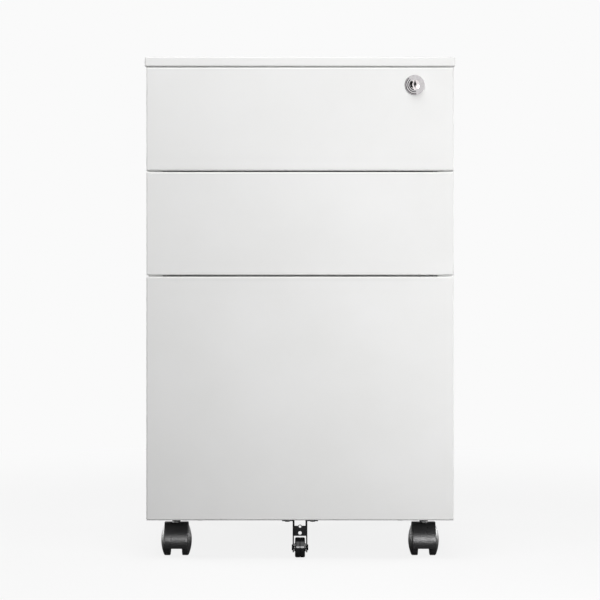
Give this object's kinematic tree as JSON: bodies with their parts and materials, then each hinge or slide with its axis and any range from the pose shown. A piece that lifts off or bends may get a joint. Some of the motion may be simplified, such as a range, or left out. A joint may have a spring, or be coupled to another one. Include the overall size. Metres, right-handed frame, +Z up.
{
  "type": "mobile filing cabinet",
  "caption": "Steel mobile filing cabinet with box drawers over a deep file drawer on telescopic slides, side finger grooves, a gang lock, hooded twin-wheel casters and an anti-tip wheel.",
  "frame": {"origin": "on the floor under the middle of the object's box", "axes": "+Z up, -Y towards the drawer fronts, +X to the right of someone facing the fronts"},
  "size_m": [0.37, 0.458, 0.6],
  "materials": {
    "white_powder_coat": "white powder coat with a fine orange peel",
    "zinc_plated_steel": "bright zinc plate",
    "chromed_lock": "polished chrome plate",
    "caster_black": "satin black moulded nylon",
    "axle_steel": "plain drawn steel",
    "black_coated_steel": "gloss black coating",
    "roller_black": "gloss black moulded plastic",
    "guide_nylon": "natural nylon"
  },
  "bodies": {
    "cabinet": {"left_side_panel": "white_powder_coat", "right_side_panel": "white_powder_coat", "back_panel": "white_powder_coat", "top_panel": "white_powder_coat", "base_pan": "white_powder_coat", "front_tie_rail": "white_powder_coat", "slide_uprights": "zinc_plated_steel", "box_slide_outers": "zinc_plated_steel", "file_slide_outers": "zinc_plated_steel", "lock_bar_guides": "guide_nylon", "caster_stems": "black_coated_steel", "caster_nuts": "zinc_plated_steel"},
    "top_drawer": {"top_front": "white_powder_coat", "top_front_liner": "white_powder_coat", "top_drawer_tub": "white_powder_coat", "top_drawer_back": "white_powder_coat", "top_slide_inners": "zinc_plated_steel", "top_lock_catch": "zinc_plated_steel", "lock_housing": "chromed_lock", "lock_nut": "zinc_plated_steel"},
    "middle_drawer": {"middle_front": "white_powder_coat", "middle_front_liner": "white_powder_coat", "middle_drawer_tub": "white_powder_coat", "middle_drawer_back": "white_powder_coat", "middle_slide_inners": "zinc_plated_steel", "middle_lock_catch": "zinc_plated_steel"},
    "file_drawer": {"file_front": "white_powder_coat", "file_front_liner": "white_powder_coat", "file_drawer_tub": "white_powder_coat", "file_drawer_back": "white_powder_coat", "file_slide_inners": "zinc_plated_steel", "file_lock_catch": "zinc_plated_steel", "file_folder_bars": "zinc_plated_steel", "tip_bracket": "black_coated_steel", "tip_axle": "black_coated_steel", "tip_screws": "black_coated_steel"},
    "top_cages": {"top_slide_cages": "zinc_plated_steel"},
    "middle_cages": {"middle_slide_cages": "zinc_plated_steel"},
    "file_middles": {"file_slide_middles": "zinc_plated_steel"},
    "lock_cylinder": {"lock_plug": "chromed_lock", "lock_cam": "zinc_plated_steel"},
    "locking_bar": {"lock_bar": "zinc_plated_steel", "lock_bar_hooks": "zinc_plated_steel"},
    "tip_roller": {"tip_wheel": "roller_black"},
    "front_left_caster": {"front_left_caster_hood": "caster_black", "front_left_caster_axle": "axle_steel"},
    "front_left_wheel_left": {"front_left_caster_wheel_left": "caster_black"},
    "front_left_wheel_right": {"front_left_caster_wheel_right": "caster_black"},
    "front_right_caster": {"front_right_caster_hood": "caster_black", "front_right_caster_axle": "axle_steel"},
    "front_right_wheel_left": {"front_right_caster_wheel_left": "caster_black"},
    "front_right_wheel_right": {"front_right_caster_wheel_right": "caster_black"},
    "rear_left_caster": {"rear_left_caster_hood": "caster_black", "rear_left_caster_axle": "axle_steel"},
    "rear_left_wheel_left": {"rear_left_caster_wheel_left": "caster_black"},
    "rear_left_wheel_right": {"rear_left_caster_wheel_right": "caster_black"},
    "rear_right_caster": {"rear_right_caster_hood": "caster_black", "rear_right_caster_axle": "axle_steel"},
    "rear_right_wheel_left": {"rear_right_caster_wheel_left": "caster_black"},
    "rear_right_wheel_right": {"rear_right_caster_wheel_right": "caster_black"}
  },
  "joints": [
    {"name": "top_drawer_slide", "type": "slide", "parent": "cabinet", "child": "top_drawer", "axis": [0, -1, 0], "range_m": [0, 0.3]},
    {"name": "middle_drawer_slide", "type": "slide", "parent": "cabinet", "child": "middle_drawer", "axis": [0, -1, 0], "range_m": [0, 0.3]},
    {"name": "file_drawer_slide", "type": "slide", "parent": "cabinet", "child": "file_drawer", "axis": [0, -1, 0], "range_m": [0, 0.37]},
    {"name": "top_cage_travel", "type": "slide", "parent": "cabinet", "child": "top_cages", "axis": [0, -1, 0], "range_m": [0, 0.15]},
    {"name": "middle_cage_travel", "type": "slide", "parent": "cabinet", "child": "middle_cages", "axis": [0, -1, 0], "range_m": [0, 0.15]},
    {"name": "file_middle_travel", "type": "slide", "parent": "cabinet", "child": "file_middles", "axis": [0, -1, 0], "range_m": [0, 0.185]},
    {"name": "front_left_swivel", "type": "hinge", "parent": "cabinet", "child": "front_left_caster", "pos_m": [-0.15, -0.172, 0.04], "axis": [0, 0, 1], "continuous": true},
    {"name": "front_left_roll_left", "type": "hinge", "parent": "front_left_caster", "child": "front_left_wheel_left", "pos_m": [-0.15, -0.169, 0.019], "axis": [1, 0, 0], "continuous": true},
    {"name": "front_left_roll_right", "type": "hinge", "parent": "front_left_caster", "child": "front_left_wheel_right", "pos_m": [-0.15, -0.169, 0.019], "axis": [1, 0, 0], "continuous": true},
    {"name": "front_right_swivel", "type": "hinge", "parent": "cabinet", "child": "front_right_caster", "pos_m": [0.15, -0.172, 0.04], "axis": [0, 0, 1], "continuous": true},
    {"name": "front_right_roll_left", "type": "hinge", "parent": "front_right_caster", "child": "front_right_wheel_left", "pos_m": [0.15, -0.169, 0.019], "axis": [1, 0, 0], "continuous": true},
    {"name": "front_right_roll_right", "type": "hinge", "parent": "front_right_caster", "child": "front_right_wheel_right", "pos_m": [0.15, -0.169, 0.019], "axis": [1, 0, 0], "continuous": true},
    {"name": "rear_left_swivel", "type": "hinge", "parent": "cabinet", "child": "rear_left_caster", "pos_m": [-0.15, 0.202, 0.04], "axis": [0, 0, 1], "continuous": true},
    {"name": "rear_left_roll_left", "type": "hinge", "parent": "rear_left_caster", "child": "rear_left_wheel_left", "pos_m": [-0.15, 0.205, 0.019], "axis": [1, 0, 0], "continuous": true},
    {"name": "rear_left_roll_right", "type": "hinge", "parent": "rear_left_caster", "child": "rear_left_wheel_right", "pos_m": [-0.15, 0.205, 0.019], "axis": [1, 0, 0], "continuous": true},
    {"name": "rear_right_swivel", "type": "hinge", "parent": "cabinet", "child": "rear_right_caster", "pos_m": [0.15, 0.202, 0.04], "axis": [0, 0, 1], "continuous": true},
    {"name": "rear_right_roll_left", "type": "hinge", "parent": "rear_right_caster", "child": "rear_right_wheel_left", "pos_m": [0.15, 0.205, 0.019], "axis": [1, 0, 0], "continuous": true},
    {"name": "rear_right_roll_right", "type": "hinge", "parent": "rear_right_caster", "child": "rear_right_wheel_right", "pos_m": [0.15, 0.205, 0.019], "axis": [1, 0, 0], "continuous": true},
    {"name": "tip_roll", "type": "hinge", "parent": "file_drawer", "child": "tip_roller", "pos_m": [0, -0.205, 0.014], "axis": [1, 0, 0], "continuous": true},
    {"name": "lock_turn", "type": "hinge", "parent": "top_drawer", "child": "lock_cylinder", "pos_m": [0.1365, -0.221, 0.5663], "axis": [0, -1, 0], "range_deg": [0, 90]},
    {"name": "lock_bar_lift", "type": "slide", "parent": "cabinet", "child": "locking_bar", "axis": [0, 0, 1], "range_m": [0, 0.007]}
  ],
  "couplings": [
    {"joint": "top_cage_travel", "follows": "top_drawer_slide", "ratio": 0.5},
    {"joint": "middle_cage_travel", "follows": "middle_drawer_slide", "ratio": 0.5},
    {"joint": "file_middle_travel", "follows": "file_drawer_slide", "ratio": 0.5},
    {"joint": "lock_turn", "follows": "lock_bar_lift", "rad_per_m": 224.4}
  ]
}
